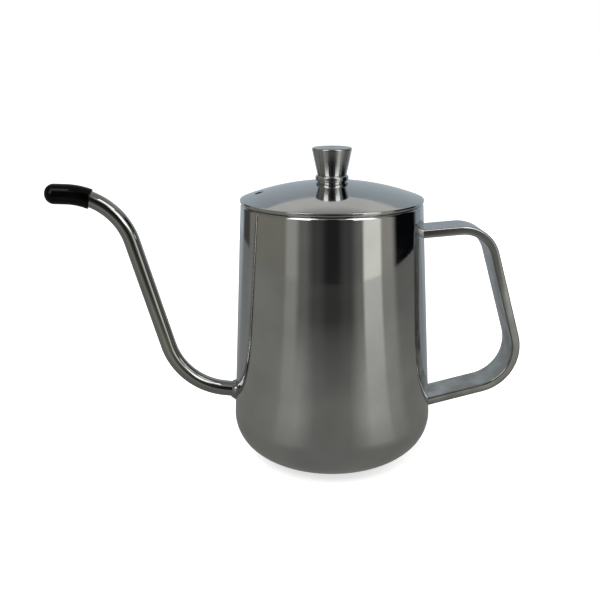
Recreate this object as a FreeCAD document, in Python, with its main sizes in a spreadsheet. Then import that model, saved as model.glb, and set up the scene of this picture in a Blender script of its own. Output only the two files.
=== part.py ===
import FreeCAD, Part
import math
import os
import re

import Sketcher
from FreeCAD import Placement, Rotation, Vector

# Gooseneck drip kettle. Millimetres and degrees, +Z up, origin at the centre of the base.
# The handle points along +X, the spout along -X, and both lie in the XZ plane.

# Driving dimensions
SIZES = {
    # Vessel
    "rim_height": 127.4,
    "mouth_radius": 43.47,
    "wall_taper": 3.0,
    "shell_wall": 0.8,
    "wall_bend_radius": 19.7,
    "base_bend_radius": 26.4,
    "bend_split": 44.0,
    "lip_width": 3.2,
    "lip_edge_radius": 1.6,
    # Spout tube
    "spout_height": 33.8,
    "spout_radius": 3.8,
    "spout_wall": 0.6,
    "spout_inset": 1.8,
    "spout_root_angle": 8.4,
    "spout_root_run": 5.6,
    "spout_lower_bend": 32.4,
    "spout_riser_angle": 74.6,
    "spout_riser_run": 53.8,
    "spout_upper_bend": 31.3,
    "spout_end_angle": 2.6,
    # Flared ring at the root of the spout
    "ring_length": 2.0,
    "ring_edge": 0.35,
    "ring_flare": 27.0,
    # Tip cap
    "cap_cover_angle": 20.5,
    "cap_wall": 0.65,
    "cap_gap": 0.3,
    "cap_end_gap": 0.6,
    "cap_nose_run": 9.4,
    "cap_nose_round": 3.6,
    # Handle strip
    "handle_width": 18.0,
    "handle_thickness": 4.2,
    "handle_edge_radius": 0.9,
    "handle_drop": 15.0,
    "handle_rise_angle": 3.9,
    "handle_arm_run": 17.6,
    "handle_upper_bend": 16.6,
    "handle_grip_lean": 16.0,
    "handle_lower_bend": 21.1,
    "handle_foot_angle": 12.7,
    "handle_foot_height": 26.5,
    # Joints between welded pieces
    "weld_gap": 0.05,
    "weld_embed": 3.0,
    # Lid
    "lid_overhang": 0.2,
    "lid_sheet": 0.8,
    "lid_hem_height": 1.7,
    "lid_hem_width": 2.6,
    "dome_rise": 8.1,
    "vent_radius": 2.1,
    "vent_offset": 34.6,
    "skirt_sheet": 0.6,
    "skirt_depth": 8.0,
    "skirt_gap": 0.4,
    # Knob and its fastening
    "collar_radius": 7.85,
    "collar_height": 2.8,
    "collar_edge": 0.4,
    "knob_foot_radius": 6.85,
    "knob_top_radius": 9.5,
    "knob_height": 13.0,
    "knob_edge": 0.5,
    "screw_radius": 2.0,
    "screw_gap": 0.1,
    "screw_reach": 8.0,
    "screw_tip_room": 1.0,
    "screw_head_radius": 3.6,
    "screw_head_height": 2.2,
    "screw_head_edge": 0.6,
    "slot_width": 0.9,
    "slot_depth": 1.0,
    "washer_radius": 5.0,
    "washer_sheet": 0.8,
}

# Places worked out from the driving dimensions
DOME_RADIUS = "((mouth_radius + lid_overhang)^2 + dome_rise^2) / (2 * dome_rise)"
DOME_TOP = "(rim_height + lid_hem_height + dome_rise)"
DOME_CENTRE = f"({DOME_TOP} - ({DOME_RADIUS}))"
DOME_INNER_RADIUS = f"({DOME_RADIUS} - lid_sheet)"
COLLAR_TOP = f"({DOME_TOP} + collar_height)"
KNOB_TOP = f"({COLLAR_TOP} + knob_height)"
MOUTH_INNER = "(mouth_radius - lip_width)"

doc = FreeCAD.newDocument("gooseneck_kettle")
sheet = doc.addObject("Spreadsheet::Sheet", "Sizes")


def fill_sheet():
    """Write every driving dimension into the sheet under its own alias."""
    for row, (alias, number) in enumerate(SIZES.items(), start=1):
        sheet.set(f"A{row}", alias.replace("_", " "))
        sheet.set(f"B{row}", str(number))
        sheet.setAlias(f"B{row}", alias)
    doc.recompute()


def sized(text):
    """Turn the dimension names in an expression into cells of the sheet."""
    def cell(match):
        word = match.group()
        return f"Sizes.{word}" if word in SIZES else word

    return re.sub(r"[a-z_]+", cell, text)


def value(text):
    """Number that an expression of dimension names stands for."""
    return float(sheet.evalExpression(sized(text)))


def wall_radius(height):
    """Expression for the outer radius of the tapered wall at a height."""
    return f"(mouth_radius + (rim_height - ({height})) * tan(wall_taper))"


def dome_inner_height(radius):
    """Expression for the height of the dome's underside at a radius."""
    return f"({DOME_CENTRE} + sqrt({DOME_INNER_RADIUS}^2 - ({radius})^2))"


def new_body(name):
    """Empty body whose label names its piece."""
    body = doc.addObject("PartDesign::Body", name)
    body.Label = name
    return body


def new_sketch(body, name, role):
    """Sketch on one of the body's own origin planes."""
    sketch = body.newObject("Sketcher::SketchObject", name)
    plane = next(item for item in body.Origin.OriginFeatures if item.Role == role)
    sketch.AttachmentSupport = [(plane, "")]
    sketch.MapMode = "FlatFace"
    return sketch


def cross_sketch(body, name, path):
    """Sketch square to the start of a path's first edge."""
    sketch = body.newObject("Sketcher::SketchObject", name)
    sketch.AttachmentSupport = [(path, "Edge1")]
    sketch.MapMode = "NormalToEdge"
    return sketch


def add_line(sketch, start, end):
    """Straight edge between two places in a sketch."""
    return sketch.addGeometry(Part.LineSegment(Vector(*start, 0), Vector(*end, 0)), False)


def add_arc(sketch, centre, radius, first, last):
    """Arc counter-clockwise from one angle to another, in degrees."""
    circle = Part.Circle(Vector(*centre, 0), Vector(0, 0, 1), radius)
    return sketch.addGeometry(Part.ArcOfCircle(circle, math.radians(first), math.radians(last)), False)


def relate(sketch, kind, *where):
    """Geometric constraint with no size of its own."""
    sketch.addConstraint(Sketcher.Constraint(kind, *where))


def bind(sketch, kind, where, text):
    """Dimension of a sketch that follows an expression."""
    number = value(text)
    start = math.radians(number) if kind == "Angle" else number
    index = sketch.addConstraint(Sketcher.Constraint(kind, *where, start))
    name = f"{kind.lower()}_{index}"
    sketch.renameConstraint(index, name)
    sketch.setExpression(f"Constraints.{name}", sized(text))


def place(sketch, item, end, across, up):
    """Fix a point of a sketch by its distances from the origin."""
    if value(across) > 0:
        bind(sketch, "DistanceX", (-1, 1, item, end), across)
    elif value(across) < 0:
        bind(sketch, "DistanceX", (item, end, -1, 1), f"-({across})")
    else:
        relate(sketch, "PointOnObject", item, end, -2)
    bind(sketch, "DistanceY", (-1, 1, item, end), up)


def outline(sketch, corners):
    """Closed outline of straight edges through corners given as pairs of expressions."""
    spots = [(value(across), value(up)) for across, up in corners]
    items = [add_line(sketch, spot, spots[(index + 1) % len(spots)]) for index, spot in enumerate(spots)]
    for index, item in enumerate(items):
        relate(sketch, "Coincident", item, 2, items[(index + 1) % len(items)], 1)
        place(sketch, item, 1, *corners[index])


def revolve(body, sketch):
    """Solid of revolution of a sketch about the upright axis."""
    feature = body.newObject("PartDesign::Revolution", f"{body.Name}_turn")
    feature.Profile = sketch
    feature.ReferenceAxis = (sketch, ["V_Axis"])
    feature.Angle = 360
    doc.recompute()
    return feature


def turned_piece(name, corners):
    """Body turned from one straight-edged section."""
    body = new_body(name)
    sketch = new_sketch(body, f"{name}_section", "XZ_Plane")
    outline(sketch, corners)
    revolve(body, sketch)
    return body


def sweep(body, kind, name, section, path):
    """Pipe of a section along a path, added to the body or cut from it."""
    feature = body.newObject(f"PartDesign::{kind}", name)
    feature.Profile = section
    feature.Spine = (path, [])
    doc.recompute()
    return feature


def round_section(body, name, path, radii):
    """Circles about the start of a path, given by expressions of their radii."""
    doc.recompute()
    sketch = cross_sketch(body, name, path)
    for radius in radii:
        circle = sketch.addGeometry(Part.Circle(Vector(0, 0, 0), Vector(0, 0, 1), value(radius)), False)
        relate(sketch, "Coincident", circle, 3, -1, 1)
        bind(sketch, "Radius", (circle,), radius)
    return sketch


def shell_section(sketch):
    """Wall, rounded bottom and turned-in lip of the vessel, with the same sheet all round."""
    taper = value("wall_taper")
    split = value("bend_split")
    wall = value("shell_wall")
    upper = value("wall_bend_radius")
    lower = value("base_bend_radius")
    lip = value("lip_edge_radius")
    rim = value("rim_height")
    lip_inner = value(MOUTH_INNER)
    lip_x = "mouth_radius + lip_edge_radius * tan(wall_taper) - lip_edge_radius / cos(wall_taper)"
    lip_centre = (value(lip_x), rim - lip)
    sine = math.sin(math.radians(split))
    cosine = math.cos(math.radians(split))
    wall_z = lower - (lower - upper) * cosine
    wall_x = value(wall_radius(str(wall_z))) - upper / math.cos(math.radians(taper))
    flat = wall_x - (lower - upper) * sine
    normal = (math.cos(math.radians(taper)), math.sin(math.radians(taper)))

    def off(centre, radius):
        return centre[0] + radius * normal[0], centre[1] + radius * normal[1]

    base = add_line(sketch, (0, 0), (flat, 0))
    base_arc = add_arc(sketch, (flat, lower), lower, -90, split - 90)
    wall_arc = add_arc(sketch, (wall_x, wall_z), upper, split - 90, taper)
    side = add_line(sketch, off((wall_x, wall_z), upper), off(lip_centre, lip))
    lip_arc = add_arc(sketch, lip_centre, lip, taper, 90)
    top = add_line(sketch, (lip_centre[0], rim), (lip_inner, rim))
    edge = add_line(sketch, (lip_inner, rim), (lip_inner, rim - wall))
    under = add_line(sketch, (lip_inner, rim - wall), (lip_centre[0], rim - wall))
    lip_arc_in = add_arc(sketch, lip_centre, lip - wall, taper, 90)
    side_in = add_line(sketch, off(lip_centre, lip - wall), off((wall_x, wall_z), upper - wall))
    wall_arc_in = add_arc(sketch, (wall_x, wall_z), upper - wall, split - 90, taper)
    base_arc_in = add_arc(sketch, (flat, lower), lower - wall, -90, split - 90)
    floor = add_line(sketch, (flat, wall), (0, wall))
    axis = add_line(sketch, (0, wall), (0, 0))

    relate(sketch, "Coincident", base, 1, -1, 1)
    for item in (base, top, under, floor):
        relate(sketch, "Horizontal", item)
    relate(sketch, "Vertical", edge)
    relate(sketch, "PointOnObject", floor, 2, -2)
    for first, second in ((top, edge), (edge, under), (floor, axis), (axis, base)):
        relate(sketch, "Coincident", first, 2, second, 1)
    for first, end, second, start in (
        (base, 2, base_arc, 1),
        (base_arc, 2, wall_arc, 1),
        (wall_arc, 2, side, 1),
        (side, 2, lip_arc, 1),
        (lip_arc, 2, top, 1),
        (under, 2, lip_arc_in, 2),
        (lip_arc_in, 1, side_in, 1),
        (side_in, 2, wall_arc_in, 2),
        (wall_arc_in, 1, base_arc_in, 2),
        (base_arc_in, 1, floor, 1),
    ):
        relate(sketch, "Tangent", first, end, second, start)
    for outer, inner in ((base_arc, base_arc_in), (wall_arc, wall_arc_in), (lip_arc, lip_arc_in)):
        relate(sketch, "Coincident", outer, 3, inner, 3)
    bind(sketch, "Radius", (base_arc,), "base_bend_radius")
    bind(sketch, "Radius", (wall_arc,), "wall_bend_radius")
    bind(sketch, "Radius", (lip_arc,), "lip_edge_radius")
    bind(sketch, "Radius", (wall_arc_in,), "wall_bend_radius - shell_wall")
    bind(sketch, "Radius", (lip_arc_in,), "lip_edge_radius - shell_wall")
    bind(sketch, "Angle", (base_arc,), "bend_split")
    bind(sketch, "Angle", (side,), "90 + wall_taper")
    place(sketch, lip_arc, 3, lip_x, "rim_height - lip_edge_radius")
    bind(sketch, "DistanceX", (-1, 1, top, 2), MOUTH_INNER)


def make_body_shell():
    """Drawn vessel with the hole that the spout passes through."""
    body = new_body("body_shell")
    sketch = new_sketch(body, "shell_section", "XZ_Plane")
    shell_section(sketch)
    whole = revolve(body, sketch)
    path = new_sketch(body, "spout_hole_axis", "XZ_Plane")
    reach = "weld_embed"
    start = spout_point(f"-{reach}")
    end = spout_point(reach)
    line = add_line(path, [value(text) for text in start], [value(text) for text in end])
    place(path, line, 1, *start)
    place(path, line, 2, *end)
    section = round_section(body, "spout_hole_section", path, ["spout_radius + weld_gap"])
    hole = sweep(body, "SubtractivePipe", "spout_hole", section, path)
    if hole.Shape.Volume >= whole.Shape.Volume:
        raise ValueError("the spout's hole cut nothing from the shell")
    return body


def spout_point(distance):
    """Place on the straight root of the spout, at a distance outward from the wall."""
    across = f"-({wall_radius('spout_height')} + ({distance}) * cos(spout_root_angle))"
    up = f"(spout_height + ({distance}) * sin(spout_root_angle))"
    return across, up


def spout_route(sketch):
    """Centre line of the spout: root run, lower bend, riser and upper bend."""
    root, riser, last = (value(f"spout_{name}_angle") for name in ("root", "riser", "end"))
    lower, upper = value("spout_lower_bend"), value("spout_upper_bend")

    def heading(angle):
        return Vector(-math.cos(math.radians(angle)), math.sin(math.radians(angle)), 0)

    def square(angle):
        return Vector(math.sin(math.radians(angle)), math.cos(math.radians(angle)), 0)

    start_texts = spout_point("-spout_inset")
    start = Vector(*(value(text) for text in start_texts), 0)
    bend_start = start + heading(root) * value("spout_inset + spout_root_run")
    lower_centre = bend_start + square(root) * lower
    riser_start = lower_centre - square(riser) * lower
    riser_end = riser_start + heading(riser) * value("spout_riser_run")
    upper_centre = riser_end - square(riser) * upper

    root_line = add_line(sketch, start[:2], bend_start[:2])
    lower_arc = add_arc(sketch, lower_centre[:2], lower, 270 - riser, 270 - root)
    riser_line = add_line(sketch, riser_start[:2], riser_end[:2])
    upper_arc = add_arc(sketch, upper_centre[:2], upper, 90 - riser, 90 - last)
    relate(sketch, "Tangent", root_line, 2, lower_arc, 2)
    relate(sketch, "Tangent", lower_arc, 1, riser_line, 1)
    relate(sketch, "Tangent", riser_line, 2, upper_arc, 1)
    place(sketch, root_line, 1, *start_texts)
    bind(sketch, "Angle", (root_line,), "180 - spout_root_angle")
    bind(sketch, "Distance", (root_line,), "spout_inset + spout_root_run")
    bind(sketch, "Radius", (lower_arc,), "spout_lower_bend")
    bind(sketch, "Angle", (riser_line,), "180 - spout_riser_angle")
    bind(sketch, "Distance", (riser_line,), "spout_riser_run")
    bind(sketch, "Radius", (upper_arc,), "spout_upper_bend")
    bind(sketch, "Angle", (upper_arc,), "spout_riser_angle - spout_end_angle")


def upper_bend_centre():
    """Expressions for the centre of the spout's upper bend."""
    start_across, start_up = spout_point("spout_root_run")
    lower = "spout_lower_bend"
    upper = "spout_upper_bend"
    across = (
        f"({start_across} + {lower} * (sin(spout_root_angle) - sin(spout_riser_angle))"
        f" - spout_riser_run * cos(spout_riser_angle) - {upper} * sin(spout_riser_angle))"
    )
    up = (
        f"({start_up} + {lower} * (cos(spout_root_angle) - cos(spout_riser_angle))"
        f" + spout_riser_run * sin(spout_riser_angle) - {upper} * cos(spout_riser_angle))"
    )
    return across, up


def make_spout_tube():
    """Bent thin tube of the gooseneck."""
    body = new_body("spout_tube")
    path = new_sketch(body, "spout_path", "XZ_Plane")
    spout_route(path)
    section = round_section(body, "spout_section", path, ["spout_radius", "spout_radius - spout_wall"])
    sweep(body, "AdditivePipe", "spout_bend", section, path)
    return body


def make_wall_cone():
    """Solid cone of the vessel's wall, which trims what is welded to it."""
    cone = doc.addObject("Part::Cone", "wall_cone")
    cone.setExpression("Radius1", sized(f"{wall_radius('0')} + weld_gap"))
    cone.setExpression("Radius2", sized("mouth_radius + weld_gap"))
    cone.setExpression("Height", sized("rim_height"))
    return cone


def along_spout_root(piece, distance):
    """Stand a round piece on the root of the spout, pointing outward from the wall."""
    across, up = spout_point(distance)
    piece.Placement = Placement(Vector(0, 0, 0), Rotation(Vector(0, -1, 0), value("90 - spout_root_angle")))
    piece.setExpression("Placement.Base.x", sized(across))
    piece.setExpression("Placement.Base.z", sized(up))
    piece.setExpression("Placement.Rotation.Angle", sized("90 - spout_root_angle"))


def cut(name, base, tool):
    """One solid less another."""
    result = doc.addObject("Part::Cut", name)
    result.Base = base
    result.Tool = tool
    return result


def make_spout_collar(wall_cone):
    """Flared ring round the root of the spout, trimmed to the wall."""
    flare = doc.addObject("Part::Cone", "collar_flare")
    narrow = "spout_radius + ring_edge"
    reach = "(ring_length + weld_embed)"
    flare.setExpression("Radius1", sized(f"{narrow} + {reach} * tan(ring_flare)"))
    flare.setExpression("Radius2", sized(narrow))
    flare.setExpression("Height", sized(reach))
    along_spout_root(flare, "-weld_embed")
    bore = doc.addObject("Part::Cylinder", "collar_bore")
    bore.setExpression("Radius", sized("spout_radius + weld_gap"))
    bore.setExpression("Height", sized(f"2 * {reach}"))
    along_spout_root(bore, f"-{reach}")
    ring = cut("collar_ring", flare, bore)
    return cut("spout_collar", ring, wall_cone)


def make_spout_tip_cap():
    """Soft closed cap that follows the upper bend over the end of the tube."""
    body = new_body("spout_tip_cap")
    bend = upper_bend_centre()
    centre = [value(text) for text in bend]
    radius = value("spout_upper_bend")
    last = 90 - value("spout_end_angle")
    end = (
        centre[0] + radius * math.cos(math.radians(last)),
        centre[1] + radius * math.sin(math.radians(last)),
    )

    def cap_path(name, run):
        path = new_sketch(body, name, "XZ_Plane")
        heading = math.radians(180 - value("spout_end_angle"))
        tip = (end[0] + value(run) * math.cos(heading), end[1] + value(run) * math.sin(heading))
        arc = add_arc(path, centre, radius, last - value("cap_cover_angle"), last)
        nose = add_line(path, end, tip)
        place(path, arc, 3, *bend)
        bind(path, "Radius", (arc,), "spout_upper_bend")
        bind(path, "Angle", (arc,), "cap_cover_angle")
        relate(path, "Tangent", arc, 2, nose, 1)
        bind(path, "Angle", (nose,), "180 - spout_end_angle")
        bind(path, "Distance", (nose,), run)
        return path

    outer_path = cap_path("cap_path", "cap_nose_run")
    outer = round_section(body, "cap_section", outer_path, ["spout_radius + cap_gap + cap_wall"])
    skin = sweep(body, "AdditivePipe", "cap_skin", outer, outer_path)
    nose_x = end[0] - value("cap_nose_run") * math.cos(math.radians(value("spout_end_angle")))
    rims = [
        f"Edge{index}"
        for index, edge in enumerate(skin.Shape.Edges, start=1)
        if isinstance(edge.Curve, Part.Circle) and abs(edge.Curve.Center.x - nose_x) < value("cap_wall")
    ]
    rounding = body.newObject("PartDesign::Fillet", "cap_nose_rounding")
    rounding.Base = (skin, rims)
    rounding.setExpression("Radius", sized("cap_nose_round"))
    doc.recompute()
    bore_path = cap_path("cap_bore_path", "cap_end_gap")
    inner = round_section(body, "cap_bore_section", bore_path, ["spout_radius + cap_gap"])
    bore = sweep(body, "SubtractivePipe", "cap_bore", inner, bore_path)
    if bore.Shape.Volume >= rounding.Shape.Volume:
        raise ValueError("the cap's bore cut nothing")
    return body


def handle_route(sketch):
    """Centre line of the strip: upper arm, bend, leaning grip, bend and lower arm."""
    top = "rim_height - handle_drop"
    foot = "handle_foot_height"
    start = (f"{wall_radius(top)} - weld_embed", f"{top} - weld_embed * tan(handle_rise_angle)")
    finish = (f"{wall_radius(foot)} - weld_embed", f"{foot} - weld_embed * tan(handle_foot_angle)")
    rise = value("handle_rise_angle")
    grip = value("handle_grip_lean - 90")
    lower_arm = value("180 + handle_foot_angle")
    upper_bend, lower_bend = value("handle_upper_bend"), value("handle_lower_bend")
    arm_run = "handle_arm_run + weld_embed / cos(handle_rise_angle)"

    def heading(angle):
        return Vector(math.cos(math.radians(angle)), math.sin(math.radians(angle)), 0)

    def square(angle):
        return heading(angle + 90)

    first = Vector(*(value(text) for text in start), 0)
    last = Vector(*(value(text) for text in finish), 0)
    upper_end = first + heading(rise) * value(arm_run)
    upper_centre = upper_end - square(rise) * upper_bend
    grip_start = upper_centre + square(grip) * upper_bend
    rest = last - grip_start - (square(lower_arm) - square(grip)) * lower_bend
    down, back = heading(grip), heading(lower_arm)
    spread = down.x * back.y - down.y * back.x
    grip_run = (rest.x * back.y - rest.y * back.x) / spread
    lower_run = (down.x * rest.y - down.y * rest.x) / spread
    grip_end = grip_start + down * grip_run
    lower_centre = grip_end - square(grip) * lower_bend
    lower_start = last - back * lower_run

    upper_line = add_line(sketch, first[:2], upper_end[:2])
    upper_arc = add_arc(sketch, upper_centre[:2], upper_bend, grip + 90, rise + 90)
    grip_line = add_line(sketch, grip_start[:2], grip_end[:2])
    lower_arc = add_arc(sketch, lower_centre[:2], lower_bend, lower_arm - 270, grip + 90)
    lower_line = add_line(sketch, lower_start[:2], last[:2])
    relate(sketch, "Tangent", upper_line, 2, upper_arc, 2)
    relate(sketch, "Tangent", upper_arc, 1, grip_line, 1)
    relate(sketch, "Tangent", grip_line, 2, lower_arc, 2)
    relate(sketch, "Tangent", lower_arc, 1, lower_line, 1)
    place(sketch, upper_line, 1, *start)
    place(sketch, lower_line, 2, *finish)
    bind(sketch, "Angle", (upper_line,), "handle_rise_angle")
    bind(sketch, "Distance", (upper_line,), arm_run)
    bind(sketch, "Radius", (upper_arc,), "handle_upper_bend")
    bind(sketch, "Angle", (grip_line,), "handle_grip_lean - 90")
    bind(sketch, "Radius", (lower_arc,), "handle_lower_bend")
    bind(sketch, "Angle", (lower_line,), "180 + handle_foot_angle")


def strip_section(sketch):
    """Rounded rectangle about the start of the strip's centre line."""
    edge = value("handle_edge_radius")
    half_width = value("handle_width / 2")
    half_thickness = value("handle_thickness / 2")
    flat_x, flat_y = half_width - edge, half_thickness - edge
    east = add_line(sketch, (half_width, -flat_y), (half_width, flat_y))
    north_east = add_arc(sketch, (flat_x, flat_y), edge, 0, 90)
    north = add_line(sketch, (flat_x, half_thickness), (-flat_x, half_thickness))
    north_west = add_arc(sketch, (-flat_x, flat_y), edge, 90, 180)
    west = add_line(sketch, (-half_width, flat_y), (-half_width, -flat_y))
    south_west = add_arc(sketch, (-flat_x, -flat_y), edge, 180, 270)
    south = add_line(sketch, (-flat_x, -half_thickness), (flat_x, -half_thickness))
    south_east = add_arc(sketch, (flat_x, -flat_y), edge, 270, 360)
    ring = (east, north_east, north, north_west, west, south_west, south, south_east)
    for index, item in enumerate(ring):
        relate(sketch, "Tangent", item, 2, ring[(index + 1) % len(ring)], 1)
    for corner in (north_east, north_west, south_west, south_east):
        bind(sketch, "Radius", (corner,), "handle_edge_radius")
    bind(sketch, "DistanceX", (-1, 1, east, 1), "handle_width / 2")
    bind(sketch, "DistanceX", (west, 1, -1, 1), "handle_width / 2")
    bind(sketch, "DistanceY", (-1, 1, north, 1), "handle_thickness / 2")
    bind(sketch, "DistanceY", (south, 1, -1, 1), "handle_thickness / 2")


def make_handle_strip(wall_cone):
    """Flat strip bent to a D, with both ends cut to the wall."""
    body = new_body("handle_blank")
    path = new_sketch(body, "handle_path", "XZ_Plane")
    handle_route(path)
    doc.recompute()
    section = cross_sketch(body, "handle_section", path)
    strip_section(section)
    sweep(body, "AdditivePipe", "handle_bend", section, path)
    return cut("handle_strip", body, wall_cone)


def make_lid_dome():
    """Shallow domed lid with a short turned-down edge, a screw hole and a vent."""
    body = new_body("lid_dome")
    sketch = new_sketch(body, "lid_section", "XZ_Plane")
    outer_x = "mouth_radius + lid_overhang"
    inner_x = f"{outer_x} - lid_hem_width"
    hole_x = "screw_radius + screw_gap"
    hem_top = "rim_height + lid_hem_height"
    outer_top = f"({DOME_CENTRE} + sqrt(({DOME_RADIUS})^2 - ({hole_x})^2))"
    centre = (0, value(DOME_CENTRE))

    def turn(across, up):
        return math.degrees(math.atan2(value(up) - centre[1], value(across)))

    hem = add_line(sketch, (value(outer_x), value("rim_height")), (value(outer_x), value(hem_top)))
    outer = add_arc(sketch, centre, value(DOME_RADIUS), turn(outer_x, hem_top), turn(hole_x, outer_top))
    inner_top = dome_inner_height(hole_x)
    hole = add_line(sketch, (value(hole_x), value(outer_top)), (value(hole_x), value(inner_top)))
    inner_low = dome_inner_height(inner_x)
    low_turn = turn(inner_x, inner_low)
    high_turn = turn(hole_x, inner_top)
    inner = add_arc(sketch, centre, value(DOME_INNER_RADIUS), low_turn, high_turn)
    hem_in = add_line(sketch, (value(inner_x), value(inner_low)), (value(inner_x), value("rim_height")))
    seat = add_line(sketch, (value(inner_x), value("rim_height")), (value(outer_x), value("rim_height")))
    for first, end, second, start in (
        (hem, 2, outer, 1),
        (outer, 2, hole, 1),
        (hole, 2, inner, 2),
        (inner, 1, hem_in, 1),
        (hem_in, 2, seat, 1),
        (seat, 2, hem, 1),
        (outer, 3, inner, 3),
    ):
        relate(sketch, "Coincident", first, end, second, start)
    for item in (hem, hole, hem_in):
        relate(sketch, "Vertical", item)
    relate(sketch, "Horizontal", seat)
    relate(sketch, "PointOnObject", outer, 3, -2)
    place(sketch, hem, 1, outer_x, "rim_height")
    bind(sketch, "DistanceY", (-1, 1, hem, 2), hem_top)
    bind(sketch, "Radius", (outer,), DOME_RADIUS)
    bind(sketch, "Radius", (inner,), DOME_INNER_RADIUS)
    bind(sketch, "DistanceX", (-1, 1, hole, 1), hole_x)
    bind(sketch, "DistanceX", (-1, 1, hem_in, 1), inner_x)
    whole = revolve(body, sketch)
    vent = new_sketch(body, "vent_section", "XY_Plane")
    middle = Vector(-value("vent_offset"), 0, 0)
    circle = vent.addGeometry(Part.Circle(middle, Vector(0, 0, 1), value("vent_radius")), False)
    relate(vent, "PointOnObject", circle, 3, -1)
    bind(vent, "DistanceX", (circle, 3, -1, 1), "vent_offset")
    bind(vent, "Radius", (circle,), "vent_radius")
    bore = pocket_up(body, "lid_vent", vent, DOME_TOP)
    if bore.Shape.Volume >= whole.Shape.Volume:
        raise ValueError("the vent cut nothing from the lid")
    return body


def pocket_up(body, name, sketch, height):
    """Cut from the base plane up to a height."""
    feature = body.newObject("PartDesign::Pocket", name)
    feature.Profile = sketch
    feature.Reversed = True
    feature.setExpression("Length", sized(height))
    doc.recompute()
    return feature


def make_lid_skirt():
    """Locating ring under the dome, which drops into the mouth."""
    outer = f"{MOUTH_INNER} - skirt_gap"
    inner = f"{outer} - skirt_sheet"
    low = "rim_height - skirt_depth"
    high = f"{dome_inner_height(outer)} - weld_gap"
    return turned_piece("lid_skirt", [(inner, low), (outer, low), (outer, high), (inner, high)])


def make_knob_collar():
    """Turned ring between the dome and the knob."""
    hole = "screw_radius + screw_gap"
    return turned_piece("knob_collar", [
        (hole, DOME_TOP),
        ("collar_radius", DOME_TOP),
        ("collar_radius", f"{COLLAR_TOP} - collar_edge"),
        ("collar_radius - collar_edge", COLLAR_TOP),
        (hole, COLLAR_TOP),
    ])


def make_knob():
    """Turned knob that widens upward, with a blind hole for the screw."""
    hole = "screw_radius + screw_gap"
    depth = f"{COLLAR_TOP} + screw_reach + screw_tip_room"
    return turned_piece("knob", [
        (hole, COLLAR_TOP),
        ("knob_foot_radius", COLLAR_TOP),
        ("knob_top_radius", f"{KNOB_TOP} - knob_edge"),
        ("knob_top_radius - knob_edge", KNOB_TOP),
        ("0", KNOB_TOP),
        ("0", depth),
        (hole, depth),
    ])


def washer_top():
    """Expression for the height at which the washer's edge meets the dome's underside."""
    return f"({dome_inner_height('washer_radius')} - weld_gap)"


def make_knob_washer():
    """Plain washer under the dome."""
    hole = "screw_radius + screw_gap"
    low = f"{washer_top()} - washer_sheet"
    return turned_piece("knob_washer", [
        (hole, low),
        ("washer_radius", low),
        ("washer_radius", washer_top()),
        (hole, washer_top()),
    ])


def make_knob_screw():
    """Slotted pan-head screw from under the lid into the knob."""
    seat = f"{washer_top()} - washer_sheet"
    low = f"({seat} - screw_head_height)"
    tip = f"{COLLAR_TOP} + screw_reach"
    body = turned_piece("knob_screw", [
        ("0", low),
        ("screw_head_radius - screw_head_edge", low),
        ("screw_head_radius", f"{low} + screw_head_edge"),
        ("screw_head_radius", seat),
        ("screw_radius", seat),
        ("screw_radius", tip),
        ("0", tip),
    ])
    whole = body.Tip.Shape.Volume
    sketch = new_sketch(body, "slot_section", "XY_Plane")
    half = value("slot_width / 2")
    reach = value("screw_head_radius")
    corners = [(-reach, -half), (reach, -half), (reach, half), (-reach, half)]
    following = corners[1:] + corners[:1]
    sides = [add_line(sketch, spot, after) for spot, after in zip(corners, following)]
    for index, side in enumerate(sides):
        relate(sketch, "Coincident", side, 2, sides[(index + 1) % len(sides)], 1)
        relate(sketch, "Vertical" if index % 2 else "Horizontal", side)
    bind(sketch, "DistanceX", (-1, 1, sides[1], 1), "screw_head_radius")
    bind(sketch, "DistanceX", (sides[3], 1, -1, 1), "screw_head_radius")
    bind(sketch, "DistanceY", (-1, 1, sides[2], 1), "slot_width / 2")
    bind(sketch, "DistanceY", (sides[0], 1, -1, 1), "slot_width / 2")
    slot = pocket_up(body, "screw_slot", sketch, f"{low} + slot_depth")
    if slot.Shape.Volume >= whole:
        raise ValueError("the slot cut nothing from the screw")
    return body


def check_document(pieces):
    """Stop if any object failed or any piece has no sound solid."""
    for item in doc.Objects:
        if "Invalid" in item.State or "Error" in item.State:
            raise ValueError(f"{item.Label} failed: {item.State}")
    for piece in pieces:
        if piece.Shape.isNull() or not piece.Shape.isValid() or len(piece.Shape.Solids) != 1:
            raise ValueError(f"{piece.Label} is not one sound solid")


def main():
    """Build every piece, check it and write it to its own file."""
    fill_sheet()
    wall_cone = make_wall_cone()
    doc.recompute()
    pieces = [
        make_body_shell(),
        make_spout_tube(),
        make_spout_collar(wall_cone),
        make_spout_tip_cap(),
        make_handle_strip(wall_cone),
        make_lid_dome(),
        make_lid_skirt(),
        make_knob_collar(),
        make_knob(),
        make_knob_washer(),
        make_knob_screw(),
    ]
    doc.recompute()
    check_document(pieces)
    os.makedirs("parts", exist_ok=True)
    for piece in pieces:
        piece.Shape.exportStep(os.path.join("parts", f"{piece.Label}.step"))
        print(f"{piece.Label}: {piece.Shape.Volume:.1f} mm3")


main()
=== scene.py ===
"""Looks of a small gooseneck drip kettle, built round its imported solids.

New pieces are drawn in millimetres in the kettle's own frame, with +Z up, the handle along +X
and the spout along -X, and their meshes are brought to metres when they are handed over.
"""

import logging
import math
from collections.abc import Iterable
from dataclasses import dataclass
from enum import Enum

import bmesh
import bpy
from bmesh.types import BMEdge, BMesh, BMVert
from bpy.types import ID, Material, Node, NodeSocket, NodeTree, Object
from mathutils import Matrix, Vector


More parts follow.
